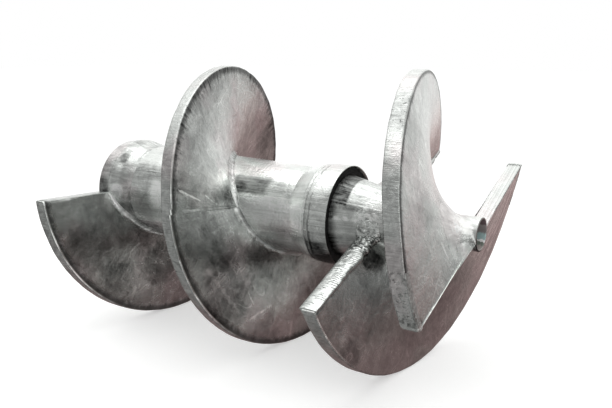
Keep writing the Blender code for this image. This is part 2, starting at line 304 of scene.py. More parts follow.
def turned(node, outline, finish):
    """A piece turned about the axis from a closed outline of (station, radius) points."""
    angles = [360 * step / ROUND_STEPS for step in range(ROUND_STEPS)]
    rings = [[place(*point, angle) for point in outline] for angle in angles]
    skin(node, rings, finish, closed=True)


# Stains and smears, mixed with spots of painted highlight, reflection and shade: each has a
# station, a radius, an angle, a reach and an amount of tone.
# On the ring, the strongest bright spot, by the flight's start, is a painted highlight.
RING_STAINS_AND_HIGHLIGHT = [
    (0.046, 0.095, 131, 0.016, -0.36), (0.046, 0.094, 146, 0.012, 0.30),
    (0.050, 0.094, 175, 0.019, 0.60), (0.060, 0.090, 160, 0.014, -0.10)]


def ring_finish():
    """Bright ground steel: stained, with a painted highlight by the flight's end, painted shade
    low down, and its rear edge darker low down.
    """
    finish = Finish("ring_steel")
    smears = finish.round_the_axis(30, 14).clouds(1.0, 4, 0.6)
    lines = finish.round_the_axis(260, 3).clouds(1.0, 2)
    patches = finish.point.clouds(34, 5, 0.62, 0.7)
    grain = finish.point.clouds(420, 2)
    # Painted shade: darker on the lower side.
    underside_painted_light = finish.from_top.step(70.0, 125.0)
    # Darker along the rear edge, low down.
    rear_edge_darkening = finish.station.step(0.031, 0.026) * finish.from_top.step(66.0, 76.0)
    tone = 0.62 + (smears - 0.5) * 0.9 + (patches - 0.5) * 0.9 + (grain - 0.5) * 0.2 \
        - underside_painted_light * 0.26 - rear_edge_darkening * 0.34
    tone = finish.add_stains_and_painted_light(tone, RING_STAINS_AND_HIGHLIGHT)
    roughness = 0.24 + (patches - 0.5) * 0.3
    height = lines * 0.2 + grain * 0.3 + patches * 0.9
    return finish.set(finish.tinted(tone, 0.45), roughness, height, 0.0012)


ring_steel = ring_finish()
turned("rear_ring", softened([
    (RING_REAR[0], BORE), RING_REAR, RING_FRONT, (RING_FRONT[0], BORE)], RING_EDGE),
    ring_steel)
turned("rear_shoulder", softened([
    (SHOULDER_LINE[0][0], BORE), *SHOULDER_LINE, HUB_START, (HUB_START[0], BORE)], RING_EDGE),
    ring_steel)

# Hub: a long, slightly tapered steel tube, bored for the drive stub at the rear. It is
# ground by hand, so it is smeared along the axis and has one dull oblong that was missed.
HUB_MIDDLE = (0.2590, 0.0835)
HUB_END = (0.4419, 0.0777)
# Stains and smears on the hub and collar, mixed with spots of painted highlight and of painted dark
# reflection.
HUB_STAINS_AND_PAINTED_LIGHT = [
    (0.496, 0.087, 141, 0.022, 0.24), (0.501, 0.087, 207, 0.016, -0.10),
    (0.465, 0.085, 190, 0.016, 0.12), (0.400, 0.078, 150, 0.020, 0.12),
    (0.336, 0.081, 150, 0.022, -0.26), (0.500, 0.087, 199, 0.034, -0.08)]


def hub_finish():
    """Bright ground steel for the hub, neck and collar, smeared along the axis.

    Its painted light and shade run in zones from the crest down to the lowest side, and from
    the rear to the collar.
    """
    finish = Finish("hub_steel")
    station, from_top = finish.station, finish.from_top
    smears = finish.round_the_axis(12, 20).clouds(1.0, 5, 0.62, 0.6)
    lines = finish.round_the_axis(9, 120).clouds(1.0, 2)
    rings = finish.round_the_axis(210, 2).clouds(1.0, 3)
    patches = finish.point.clouds(30, 5, 0.65, 0.9)
    grain = finish.point.clouds(420, 2)
    flecks = finish.point.clouds(120, 4, 0.7, 0.5).step(0.58, 0.68)

    # Painted light in zones round the hub: a highlight on the crest, a greenish reflection below it,
    # a light band on the middle of the side, a band underneath that is lighter on the hub and darker
    # under the collar, and shade on the lowest side.
    crest_painted_highlight = from_top.step(46.0, 38.0)
    green_painted_reflection = from_top.step(38.0, 46.0) * from_top.step(80.0, 70.0)
    middle = from_top.step(58.0, 70.0) * from_top.step(110.0, 92.0)
    underside_painted_light = from_top.step(104.0, 116.0)
    lowest_painted_shade = from_top.step(118.0, 136.0)
    rear = station.step(0.140, 0.120)
    front = station.step(0.375, 0.420)
    collar = station.step(0.470, 0.480)
    neck = station.step(0.440, 0.452) * station.step(0.476, 0.468) \
        * from_top.step(66.0, 54.0) * from_top.step(-30.0, 0.0)
    calm = 1.0 - crest_painted_highlight * 0.6

    oblong = finish.mark(0.354, 0.039, 52.5, 12.5)
    streak = abs(from_top - 76.0 + (smears - 0.5) * 16.0).step(2.8, 0.8) \
        * station.step(0.365, 0.385)
    wander = station + (patches - 0.5) * 0.012 + (smears - 0.5) * 0.006
    seams = abs(wander - 0.4765).step(0.0022, 0.0007)
    seams = seams.math("MAXIMUM", seams, abs(wander - 0.4850).step(0.0026, 0.0008))
    seams = seams * (patches + from_top.step(40.0, 80.0) * 0.12).step(0.49, 0.60)

    tone = 0.66 + ((smears - 0.5) * 0.75 + (patches - 0.5) * 0.9) * calm + (lines - 0.5) * 0.20 \
        + (grain - 0.5) * 0.22 + flecks * middle * 0.25 - oblong * 0.34 - seams * 0.36 \
        + crest_painted_highlight * (0.26 - front * 0.14 - collar * 0.04) + neck * 0.18 + streak * 0.18 \
        + middle * (0.38 - collar * 0.32 - rear * 0.30) \
        + underside_painted_light * (0.20 - collar * 0.60 - rear * 0.10) - lowest_painted_shade * 0.42 - rear * 0.16
    tone = finish.add_stains_and_painted_light(tone, HUB_STAINS_AND_PAINTED_LIGHT)
    roughness = 0.20 + (patches - 0.5) * 0.35 + (smears - 0.5) * 0.2 + oblong * 0.15
    height = rings * 0.15 + grain * 0.30 + (patches * 0.8 + smears * 0.4) * calm
    # The tint is painted reflection too: greener in the greenish band, pinker on the lowest side.
    pink = 0.45 - green_painted_reflection * 0.25 + lowest_painted_shade * 0.30
    metallic = 1.0 - neck * 0.65 - middle * (1.0 - collar) * (1.0 - rear) * 0.18
    return finish.set(finish.tinted(tone, pink), roughness, height, 0.0014, metallic)


hub_steel = hub_finish()
turned("hub_tube", [(HUB_START[0], BORE), HUB_START, HUB_MIDDLE, HUB_END, (HUB_END[0], BORE)],
       hub_steel)

# Neck and socket collar: the hub flares to a thin-walled bell that takes the front section.
# A ground weld joins the two between a pair of faint grooves, and the mouth has a thin lip.
NECK_MIDDLE = (0.4544, 0.0811)
NECK_END = (0.4693, 0.0850)
COLLAR_START = (0.4765, 0.0859)
COLLAR_MIDDLE = (0.4886, 0.0869)
MOUTH = (0.5176, 0.0868)
COLLAR_LIP = 0.0858
COLLAR_BORE = 0.0830
COLLAR_BORE_START = 0.4866
SEAL_FRONT = 0.5136
GROOVE = 0.0003
LINE_STEPS = 8


def eased(line, first, last):
    """The points of a smooth curve through a line, from its first to its last given index."""
    points = [Vector(point) for point in line]
    curve = [points[first]]
    for index in range(first, last):
        start = points[index]
        end = points[index + 1]
        leave = (end - points[index - 1]) / 2
        arrive = (points[index + 2] - start) / 2
        for step in range(1, LINE_STEPS + 1):
            share = step / LINE_STEPS
            curve.append(start * (2 * share ** 3 - 3 * share ** 2 + 1)
                         + leave * (share ** 3 - 2 * share ** 2 + share)
                         + end * (3 * share ** 2 - 2 * share ** 3)
                         + arrive * (share ** 3 - share ** 2))
    return curve


NECK_GUIDE = [(0.4300, 0.0781), HUB_END, NECK_MIDDLE, NECK_END, COLLAR_START, COLLAR_MIDDLE,
              (0.5030, 0.0869), MOUTH]
REAR_GROOVE = (NECK_END[0], NECK_END[1] - GROOVE)
FRONT_GROOVE = (COLLAR_START[0], COLLAR_START[1] - GROOVE)
turned("hub_neck", [(HUB_END[0], BORE), *eased(NECK_GUIDE, 1, 3), REAR_GROOVE,
                    (NECK_END[0], BORE)], hub_steel)
turned("collar_weld", softened([
    (NECK_END[0], BORE), REAR_GROOVE, *eased(NECK_GUIDE, 3, 4)[1:-1], FRONT_GROOVE,
    (COLLAR_START[0], BORE)], GROOVE), hub_steel)
turned("socket_collar", [
    (COLLAR_START[0], BORE), FRONT_GROOVE, *eased(NECK_GUIDE, 4, 6)[1:], MOUTH,
    (MOUTH[0], COLLAR_LIP), (SEAL_FRONT, COLLAR_BORE), (COLLAR_BORE_START, COLLAR_BORE),
    (COLLAR_BORE_START, BORE)], hub_steel)

# Mouth ring: a near-black matt ring pressed into the mouth round the front section's spigot.
# It shows only as the black gap between the collar's lip and the spigot.
SEAL_EDGE = 0.0006
seal = Finish("seal_rubber")
seal_grain = seal.point.clouds(300, 3)
seal_rubber = seal.set(
    seal.point.clouds(40).blend((0.004, 0.004, 0.004, 1), (0.012, 0.012, 0.012, 1)),
    0.6 + seal_grain * 0.4, seal_grain, 0.0004, metallic=0.0)
turned("mouth_seal", softened([
    (COLLAR_BORE_START, BORE), (COLLAR_BORE_START, COLLAR_BORE), (SEAL_FRONT, COLLAR_BORE),
    (SEAL_FRONT, BORE)], SEAL_EDGE), seal_rubber)

# Flight of the rear section: heavy plate formed to a helix in two lengths, a full turn and
# a half turn, welded together on a radial seam and to the hub on both sides, then ground.
FLIGHT_START = 176.4
FLIGHT_END = 726.0
RIM = 0.2497
PLATE_STEP = 1.0
SIDE_POINTS = 24
RIM_POINTS = 5
EDGE = 0.0028
EDGE_TILTS = (30, 60, 90)
RIM_WEAR = 0.0005
RIM_NICKS = 0.0004
FACE_WAVER = 0.0008
REAR_LINE = [RING_REAR, RING_FRONT, *SHOULDER_LINE[1:], HUB_START, HUB_MIDDLE, HUB_END,
             NECK_MIDDLE, NECK_END, COLLAR_MIDDLE, MOUTH]
CONE_START = (0.5146, 0.0705)
CONE_END = (0.7102, 0.0268)
NOSE_RADIUS = 0.0272
NOSE_END = 0.748
FRONT_LINE = [CONE_START, CONE_END, (CONE_END[0], NOSE_RADIUS), (NOSE_END, NOSE_RADIUS)]
SUNK = 0.0015


def between(first, last, share):
    return first + (last - first) * share


def shaft_radius(station):
    """Outer radius of the shaft where a plate meets it."""
    line = REAR_LINE if station <= MOUTH[0] else FRONT_LINE
    for (first, low), (last, high) in zip(line, line[1:]):
        if station <= last:
            return between(low, high, max(0.0, station - first) / max(1e-9, last - first))
    return line[-1][1]


def waver(point, size, seed):
    """Smooth unevenness between about -1 and 1, over a size in metres."""
    return noise.noise(point / size + Vector((seed, seed * 1.7, -seed)))


@dataclass
class Plate:
    """A helical plate. Its station is its front face's at its start, on the rim."""

    start: float
    end: float
    station: float
    pitch: float
    thickness: float
    seed: float
    bow: float = 0.0
    lean: float = 0.0

    def face(self, side, angle, radius=RIM):
        """Station of the front (+1) or rear (-1) face; the root leads the rim by the lean."""
        turns = (angle - self.start) / 360
        station = self.station + self.pitch * turns + self.bow * turns * (turns - 0.5)
        share = (angle - self.start) / (self.end - self.start)
        station += self.lean * math.sin(math.pi * share) * (RIM - radius)
        return station if side > 0 else station - self.thickness

    def root(self, side, angle):
        """Station where a face meets the shaft."""
        return self.face(side, angle, shaft_radius(self.face(side, angle)))

    def section(self, angle, inset=0.0, advance=0.0):
        """One ring of points: up the front, over the worn rim and down the rear."""
        rim_spot = place(self.face(1, angle), RIM, angle)
        rim = RIM - inset - RIM_WEAR * max(0.0, waver(rim_spot, 0.05, self.seed)) \
            - RIM_NICKS * max(0.0, waver(rim_spot, 0.012, self.seed))
        edge = EDGE * (1 + 0.5 * waver(rim_spot, 0.02, self.seed + 5))
        halves = []
        for side in (1, -1):
            root = shaft_radius(self.root(side, angle)) - SUNK
            half = []
            for index in range(SIDE_POINTS):
                radius = root + (rim - edge - root) * index / (SIDE_POINTS - 1)
                half.append((self.face(side, angle, radius) - side * inset, radius))
            outermost = half[-1][0]
            for tilt in EDGE_TILTS:
                swing = math.radians(tilt)
                half.append((outermost - side * edge * (1 - math.cos(swing)),
                             rim - edge * (1 - math.sin(swing))))
            halves.append(half)
        front, rear = halves[0][-1][0], halves[1][-1][0]
        middle = [(front + (rear - front) * index / RIM_POINTS, rim)
                  for index in range(1, RIM_POINTS)]
        placed = []
        for station, radius in halves[0] + middle + halves[1][::-1]:
            spot = place(station, radius, angle + math.degrees(advance / radius))
            uneven = waver(spot, 0.07, self.seed) * 0.9 + waver(spot, 0.022, self.seed + 3) * 0.25
            spot.x += FACE_WAVER * uneven
            placed.append(spot)
        return placed

    def rings(self, step, soft_start=True, soft_end=True):
        """All the rings from start to end, with the plate's end faces softly edged."""
        rolls = []
        for tilt in (0, *EDGE_TILTS):
            swing = math.radians(tilt)
            rolls.append((EDGE * (1 - math.sin(swing)), EDGE * (1 - math.cos(swing))))
        rings = []
        count = round((self.end - self.start) / step)
        for index in range(count + 1):
            angle = self.start + (self.end - self.start) * index / count
            if index == 0 and soft_start:
                rings += [self.section(angle, inset, advance) for inset, advance in rolls]
            elif index == count and soft_end:
                rings += [self.section(angle, inset, -advance) for inset, advance in rolls[::-1]]
            else:
                rings.append(self.section(angle))
        return rings


FILLET_STEPS = 12
TOE = 0.0005
TOE_FACE = 0.0003
WELD_DEPTH = 0.0030
WELD_LUMP = 0.0004
WELD_GRAIN = 0.00015


def root_weld(node, plate, side, start, end, legs, finish):
    """A concave fillet of weld metal between the shaft and one side of a plate."""
    rings = []
    count = round((end - start) / PLATE_STEP)
    for index in range(count + 1):
        angle = start + (end - start) * index / count
        axial, radial = legs(plate, side, angle)
        root = plate.root(side, angle)
        spot = place(root, shaft_radius(root) + radial, angle)
        swell = 1 + 0.08 * waver(spot, 0.030, plate.seed) + 0.04 * waver(spot, 0.008, plate.seed)
        radial *= swell
        tail = root + side * axial
        top = shaft_radius(root) + radial
        section = [(plate.face(side, angle, top) - side * WELD_DEPTH, top + TOE),
                   (plate.face(side, angle, top) - side * TOE_FACE, top + TOE)]
        for step in range(FILLET_STEPS + 1):
            swing = math.pi / 2 * step / FILLET_STEPS
            share = 1 - math.cos(swing)
            station = between(root, tail, share)
            radius = shaft_radius(station) + radial * (1 - math.sin(swing)) + TOE
            face = plate.face(side, angle, radius)
            section.append((between(face, tail, share), radius))
        section.append((tail + side * TOE, shaft_radius(tail) - TOE))
        section.append((tail, shaft_radius(tail) - WELD_DEPTH))
        section.append((root - side * WELD_DEPTH, shaft_radius(root) - WELD_DEPTH))
        ring = []
        for row, (station, radius) in enumerate(section):
            point = place(station, radius, angle)
            if 1 < row < len(section) - 3:
                lump = waver(point, 0.010, plate.seed + 7) * WELD_LUMP
                lump += waver(point, 0.004, plate.seed + 1) * WELD_GRAIN
                point = place(station + side * lump, radius + lump, angle)
            ring.append(point)
        rings.append(ring)
    skin(node, rings, finish)


def plate_finish(name, grey, pink, line_width, streaking, stains_and_painted_light, scratches=(), end=None,
                 end_ridge_and_shadow_tone=0.0, end_reach=0.0062, corner_painted_light=0.50, brushing=0.0, upper_rim_darkening=0.0,
                 crown_turn=28.0, crown_painted_highlight=0.18):
    """Hand-ground plate: smeared clouds, a dark line inside its rim and a rough rim.

    Streaking darkens the strokes by the rim, brushing adds the arcs on the far side, and a set
    amount darkens the rim's upper near side. Within crown_turn of the top the rim is lighter
    by a painted highlight. Along the corner inside the rim, low on the near side, a thin band
    is a painted highlight, or a painted shade where its tone is negative. A blade's end face is
    cut across it at the end angle, with a rough line before it: pale ridges where its tone is
    positive, and a painted shadow where it is negative, which also runs along the leading edge.
    """
    finish = Finish(name)
    from_top = finish.from_top
    inside = RIM - finish.radius
    clouds = finish.point.clouds(10, 6, 0.60, 0.8)
    blotches = finish.point.clouds(55, 5, 0.68, 0.8)
    drawn = finish.round_the_axis(2, 24, 8).clouds(1.0, 4, 0.6, 0.6)
    short = finish.round_the_axis(2, 75, 14).clouds(1.0, 3, 0.6, 0.3)
    grain = finish.point.clouds(360, 2)
    hairlines = finish.round_the_axis(14, 2, 9).threads(1.0, 0.007) * clouds.step(0.45, 0.6)
    swirls = finish.point.threads(9, 0.004, 2.5) * blotches.step(0.42, 0.56)
    flecks = blotches.step(0.60, 0.70)

    ragged = (short - 0.5) * line_width * 0.9 + (blotches - 0.5) * line_width * 0.9
    line = (inside + ragged).step(line_width * 1.40, line_width * 0.50) * inside.step(0.0008, 0.0026)
    strokes = finish.round_the_axis(2, 60, 40).clouds(1.0, 3, 0.6, 0.5)
    lashes = strokes.step(0.50, 0.62) * inside.step(0.036, 0.004) * abs(from_top).step(88.0, 55.0)
    arcs = finish.round_the_axis(0, 1.5, 260).clouds(1.0, 3, 0.6).step(0.40, 0.60)
    arcs = (arcs - 0.4) * finish.cosine.step(0.80, 0.97) * blotches.step(0.36, 0.56) * brushing
    below = from_top.step(46.0, 62.0) * from_top.step(150.0, 125.0)
    # A painted highlight along the corner inside the rim, low on the near side; with a negative tone,
    # as on blade B, a painted shade.
    corner = inside.step(0.0042, 0.0026) * below

    rim = inside.step(0.0016, 0.0006)
    ground = finish.round_the_axis(25, 240).clouds(1.0, 3, 0.6)
    pits = finish.point.clouds(190, 3, 0.7).step(0.60, 0.70)
    # The rim's crown, near the top, is lightened by a painted highlight.
    crown = abs(from_top).step(crown_turn, crown_turn * 0.72)
    # A set amount darker on the rim's upper near side, with a lighter strip in its middle.
    flank = from_top.step(24.0, 34.0) * from_top.step(76.0, 62.0)
    flank = flank - from_top.step(42.0, 48.0) * from_top.step(58.0, 54.0) * 1.9

    ahead = finish.radius if end is None else finish.before(end)
    # Pale ridges before a blade's end; with a negative tone, as on blade A, a painted shadow band
    # that also runs along its leading edge by the edge bead.
    end_ridges_and_shadow = (ahead + (blotches - 0.5) * 0.008).step(end_reach, end_reach * 0.5)
    cut = ahead.step(0.0016, 0.0008)
    drag = finish.round_the_axis(420, 90, 6).clouds(1.0, 3)

    face = grey + (clouds - 0.5) * 0.70 + (blotches - 0.5) * 0.55 + (drawn - 0.5) * 0.26 \
        + (grain - 0.5) * 0.22 + hairlines * 0.22 + swirls * 0.16 + flecks * 0.08 \
        - lashes * streaking + end_ridges_and_shadow * end_ridge_and_shadow_tone + arcs
    face = finish.scored(finish.add_stains_and_painted_light(face, stains_and_painted_light), scratches) * (1 - line * 0.70)
    edge = grey * 0.90 + ((ground - 0.5) * 0.6 + (blotches - 0.5) * 0.9) * (1 - crown * 0.5) \
        - pits * 0.16 + crown * crown_painted_highlight - flank * upper_rim_darkening
    tone = face * (1 - rim) + edge * rim + corner * (1 - rim) * corner_painted_light
    tone = tone * (1 - cut) + (0.80 + (drag - 0.5) * 0.6 + (blotches - 0.5) * 0.3) * cut
    roughness = 0.22 + (clouds - 0.5) * 0.3 + (blotches - 0.5) * 0.25 + line * 0.15
    height = grain * 0.25 + blotches * 0.42 + clouds * 1.3 + drawn * 0.10 \
        + ground * rim * 0.4 - pits * rim * 0.3 - line * 0.2 + end_ridges_and_shadow * blotches * end_ridge_and_shadow_tone * 2.0
    return finish.set(finish.tinted(tone, pink), roughness, height, 0.0013)


def weld_finish(name, grey, dab_scale, stains_and_painted_light, scratches=()):
    """Bright weld metal in overlapping dabs, brushed clean."""
    finish = Finish(name)
    dabs = finish.point.clouds(dab_scale, 4, 0.65, 0.6)
    clouds = finish.point.clouds(22, 4, 0.6, 0.8)
    drawn = finish.round_the_axis(2, 24, 8).clouds(1.0, 4, 0.6, 0.6)
    grain = finish.point.clouds(400, 2)
    tone = grey + dabs.step(0.50, 0.64) * 0.22 + (clouds - 0.5) * 0.8 + (drawn - 0.5) * 0.5 \
        + (grain - 0.5) * 0.2
    tone = finish.scored(finish.add_stains_and_painted_light(tone, stains_and_painted_light), scratches)
    roughness = 0.24 + (clouds - 0.5) * 0.25 + dabs * 0.08
    height = dabs * 0.7 + clouds * 0.8 + grain * 0.25
    return finish.set(finish.tinted(tone, 0.45), roughness, height, 0.0014)


FILLET_LEG = 0.009
FILLET_END_LEG = 0.004
FILLET_RUNOUT = 30.0
SEAM_RUNOUT = 14.0
SEAM_LEG = 0.003


def flight_legs(plate, side, angle):
    """Both legs of the flight's fillets, which grow from the flight's two free ends.

    The full turn's front fillet thins out at the seam, where the half turn stands back.
    """
    free = min(angle - FLIGHT_START, FLIGHT_END - angle)
    leg = between(FILLET_END_LEG, FILLET_LEG, min(1.0, max(0.0, free) / FILLET_RUNOUT))
    if plate is turn and side > 0:
        share = min(1.0, (TURN_END + SEAM_OVERLAP - angle) / SEAM_RUNOUT)
        leg = min(leg, between(SEAM_LEG, FILLET_LEG, share))
    return leg, leg


# Stains and smears on the flight, mixed with spots of painted highlight, reflection and shade.
FLIGHT_STAINS_AND_PAINTED_LIGHT = [
    (0.316, 0.135, 141, 0.065, 0.20), (0.333, 0.096, 160, 0.024, -0.26),
    (0.357, 0.150, 200, 0.040, -0.12), (0.384, 0.112, 231, 0.046, -0.18),
    (0.371, 0.205, 217, 0.075, -0.30), (0.348, 0.155, 184, 0.045, -0.12),
    (0.411, 0.200, 262, 0.060, 0.26), (0.042, 0.190, 186, 0.060, 0.06),
    (0.078, 0.200, 230, 0.050, -0.22), (0.330, 0.212, 163, 0.045, -0.16),
    (0.243, 0.185, 62, 0.045, 0.14), (0.216, 0.195, 28, 0.045, -0.16),
    (0.101, 0.150, 255, 0.055, -0.32), (0.358, 0.096, 204, 0.022, 0.26),
    (0.052, 0.104, 186, 0.026, 0.24), (0.060, 0.200, 206, 0.060, -0.14),
    (0.282, 0.229, 107, 0.040, -0.14), (0.305, 0.226, 134, 0.030, 0.12),
    (0.318, 0.108, 149, 0.030, 0.14), (0.333, 0.105, 167, 0.018, -0.14),
    (0.337, 0.190, 175, 0.040, -0.08)]

# Bright scratches: from one station, radius and angle to another, a width and an amount.
FLIGHT_SCRATCHES = [
    ((0.3304, 0.232, 163.7), (0.3338, 0.179, 167.6), 0.0020, 0.40),
    ((0.3311, 0.164, 164.7), (0.3349, 0.138, 169.3), 0.0018, 0.35),
    ((0.3354, 0.221, 172.0), (0.3356, 0.182, 172.3), 0.0020, 0.20),
    ((0.3570, 0.204, 200.7), (0.3808, 0.211, 228.9), 0.0040, 0.14),
    ((0.3870, 0.214, 236.2), (0.3924, 0.194, 242.3), 0.0030, 0.24),
    ((0.3924, 0.194, 242.3), (0.3971, 0.180, 247.6), 0.0026, 0.16),
    ((0.4113, 0.214, 264.3), (0.4101, 0.244, 263.0), 0.0030, 0.24),
    ((0.0801, 0.167, 230.9), (0.0795, 0.139, 230.1), 0.0040, 0.16),
    ((0.0795, 0.139, 230.1), (0.0853, 0.112, 237.0), 0.0040, 0.16),
    ((0.0901, 0.234, 241.8), (0.0898, 0.207, 241.9), 0.0040, 0.16)]
# Painted highlights on the root welds, along the bright band of each fillet.
ROOT_PAINTED_HIGHLIGHTS = [
    (0.3578, 0.089, 202, 0.022, 0.26), (0.0477, 0.094, 186, 0.026, 0.60),
    (0.3329, 0.086, 160, 0.030, 0.26)]
flight_steel = plate_finish("flight_steel", grey=0.50, pink=0.46, line_width=0.0120,
                            streaking=0.42, stains_and_painted_light=FLIGHT_STAINS_AND_PAINTED_LIGHT, scratches=FLIGHT_SCRATCHES,
                            crown_turn=68.0, crown_painted_highlight=0.17)
root_steel = weld_finish("root_weld_steel", 0.48, 55, ROOT_PAINTED_HIGHLIGHTS)
TURN_PITCH = 0.3072
TURN_STATION = 0.0370 + TURN_PITCH * (FLIGHT_START - 180) / 360
TURN_END = 531.05
HALF_PITCH = 0.3094
HALF_START = 532.95
HALF_STATION = 0.3390 + HALF_PITCH * (HALF_START - 540) / 360
SEAM_START = 530.9
SEAM_END = 533.1
SEAM_STEP = 0.5
SEAM_PROUD = 0.0004
SEAM_OVERLAP = 2.0
FLIGHT_SEED = 2.0
turn = Plate(FLIGHT_START, TURN_END, TURN_STATION, TURN_PITCH, thickness=0.0225, seed=FLIGHT_SEED)
half = Plate(HALF_START, FLIGHT_END, HALF_STATION, HALF_PITCH, thickness=0.0198, seed=FLIGHT_SEED)
skin("flight_rear_turn", turn.rings(PLATE_STEP, soft_end=False), flight_steel)
skin("flight_front_half", half.rings(PLATE_STEP, soft_start=False), flight_steel)
seam_middle = (turn.face(1, TURN_END) + half.face(1, HALF_START)) / 2 + SEAM_PROUD
seam_station = seam_middle - TURN_PITCH * (SEAM_END - SEAM_START) / 2 / 360
seam = Plate(SEAM_START, SEAM_END, seam_station, TURN_PITCH, thickness=0.0219, seed=FLIGHT_SEED)
skin("flight_seam_weld", seam.rings(SEAM_STEP, soft_start=False, soft_end=False),
     flight_steel)
for word, side in (("front", 1), ("rear", -1)):
    root_weld(f"flight_turn_weld_{word}", turn, side, turn.start, turn.end + SEAM_OVERLAP,
              flight_legs, root_steel)
    root_weld(f"flight_half_weld_{word}", half, side, half.start - SEAM_OVERLAP, half.end,
              flight_legs, root_steel)

# Spigot, cone and nose tube: the shaft of the front section. The spigot fits the hub's
# socket; the cone carries the two blades and ends in an open tube. Weld spatter lies on the
# cone round each blade's root. The cone is darker at the mouth, with dirt and painted shade,
# and darker underneath as painted shade.
SPIGOT_START = 0.370
SPIGOT_RADIUS = 0.0700
SPIGOT_CHAMFER = 0.006
CENTRE = 0.001
NOSE_BORE = 0.0240
NOSE_EDGE = 0.0010
BLADE_A_START = 198.8
BLADE_B_START = 20.6
SPATTER_LEAD = 34.0


def cone_finish():
    """Bright ground steel with long scrapes, spattered by each blade, darker at the mouth with dirt
    and painted shade, and painted shade underneath.
    """
    finish = Finish("cone_steel")
    smears = finish.round_the_axis(10, 12).clouds(1.0, 5, 0.62, 0.5)
    lines = finish.round_the_axis(12, 70).clouds(1.0, 2)
    patches = finish.point.clouds(34, 5, 0.65, 0.9)
    grain = finish.point.clouds(420, 2)
    pebbles = finish.point.clouds(170, 3, 0.7)
    spatter, spatter_b = [
        finish.point.near(place(0.578, 0.058, start - SPATTER_LEAD), 0.030, 0.02)
        for start in (BLADE_A_START, BLADE_B_START)]
    spatter = spatter.math("MAXIMUM", spatter, spatter_b)
    # Darker just outside the mouth: dirt there, and painted shade in the mouth's shadow, deeper on
    # the lower side.
    shaded = finish.station.step(0.542, 0.538) * finish.from_top.step(66.0, 58.0)
    mouth_dirt_and_shade = finish.station.step(0.532, 0.517)
    mouth_dirt_and_shade = mouth_dirt_and_shade.math("MAXIMUM", mouth_dirt_and_shade, shaded)
    band = finish.mark(0.566, 0.032, 63.0, 4.5)
    stroke = finish.mark(0.562, 0.028, 56.5, 1.3)
    scrape = finish.mark(0.543, 0.022, 79.5, 3.0)
    # Painted shade: darker on the underside.
    underside_painted_light = finish.from_top.step(98.0, 112.0)
    tone = 0.64 + (smears - 0.5) * 1.0 + (lines - 0.5) * 0.35 + (patches - 0.5) * 0.9 \
        + (grain - 0.5) * 0.2 + spatter * (pebbles - 0.38) * 1.9 - mouth_dirt_and_shade * 0.42 \
        - band * 0.24 + stroke * 0.24 + scrape * patches.step(0.42, 0.60) * 0.60 - underside_painted_light * 0.16
    roughness = 0.19 + (patches - 0.5) * 0.3 + spatter * 0.12 + mouth_dirt_and_shade * 0.25
    height = patches * 0.9 + smears * 0.4 + grain * 0.3 + spatter * pebbles * 0.9
    return finish.set(finish.tinted(tone, 0.45), roughness, height, 0.0014)


cone_steel = cone_finish()
turned("spigot", [
    (SPIGOT_START, CENTRE), (SPIGOT_START, SPIGOT_RADIUS - SPIGOT_CHAMFER),
    (SPIGOT_START + SPIGOT_CHAMFER, SPIGOT_RADIUS), (CONE_START[0], SPIGOT_RADIUS),
    (CONE_START[0], CENTRE)], cone_steel)
turned("core_cone", [(CONE_START[0], CENTRE), CONE_START, CONE_END, (CONE_END[0], CENTRE)],
       cone_steel)
# The painted shade, reflections and highlight in the nose's bore: the rises between which
# each sets in, and its colour.
BORE_TOP_PAINTED_SHADE = (0.12, 0.085, 0.088, 1)
BORE_PAINTED_LIGHT_BANDS = [
    (0.0125, 0.0095, (0.26, 0.235, 0.23, 1)), (-0.0020, -0.0055, (0.44, 0.60, 0.60, 1)),
    (-0.0132, -0.0140, (1.0, 1.0, 1.0, 1)), (-0.0160, -0.0170, (0.21, 0.24, 0.21, 1)),
    (-0.0200, -0.0220, (0.45, 0.41, 0.39, 1))]


def nose_finish():
    """The nose tube: brushed outside, with a thin lip darkened as painted shade, painted shadow
    low down, and its bore painted with shade, reflections and a highlight.

    The bore has painted shade at its top, a greenish painted reflection lower down to a pale
    painted highlight line, and darker and pinkish painted reflections below.
    """
    finish = Finish("nose_steel")
    patches = finish.point.clouds(60, 4, 0.6, 0.6)
    grain = finish.point.clouds(420, 2)
    bore = finish.radius.step(0.0250, 0.0244)
    # The lip is darkened as painted shade, and the tube's lower side near its end as painted shadow.
    lip_painted_shade = finish.station.step(NOSE_END - 0.0016, NOSE_END - 0.0008)
    low_painted_shadow = finish.from_top.step(82.0, 104.0) \
        * finish.station.step(NOSE_END - 0.010, NOSE_END - 0.004)
    outside = finish.tinted(0.78 + (patches - 0.5) * 0.9 + (grain - 0.5) * 0.2
                            - lip_painted_shade * 0.45 - low_painted_shadow * 0.50)
    flakes = finish.point.clouds(240, 3, 0.7)
    rise = finish.sine * finish.radius + (patches - 0.5) * 0.007 + (flakes - 0.5) * 0.008
    inside = BORE_TOP_PAINTED_SHADE
    for above, below, colour in BORE_PAINTED_LIGHT_BANDS:
        inside = rise.step(above, below).blend(inside, colour)
    return finish.set(bore.blend(outside, inside), 0.26 + patches * 0.15 + bore * 0.1,
                      patches * 0.6 + grain * 0.3, 0.0010, metallic=1 - bore * 0.75)


turned("nose_tube", softened([
    (CONE_END[0], NOSE_BORE), (CONE_END[0], NOSE_RADIUS), (NOSE_END, NOSE_RADIUS),
    (NOSE_END, NOSE_BORE)], NOSE_EDGE), nose_finish())

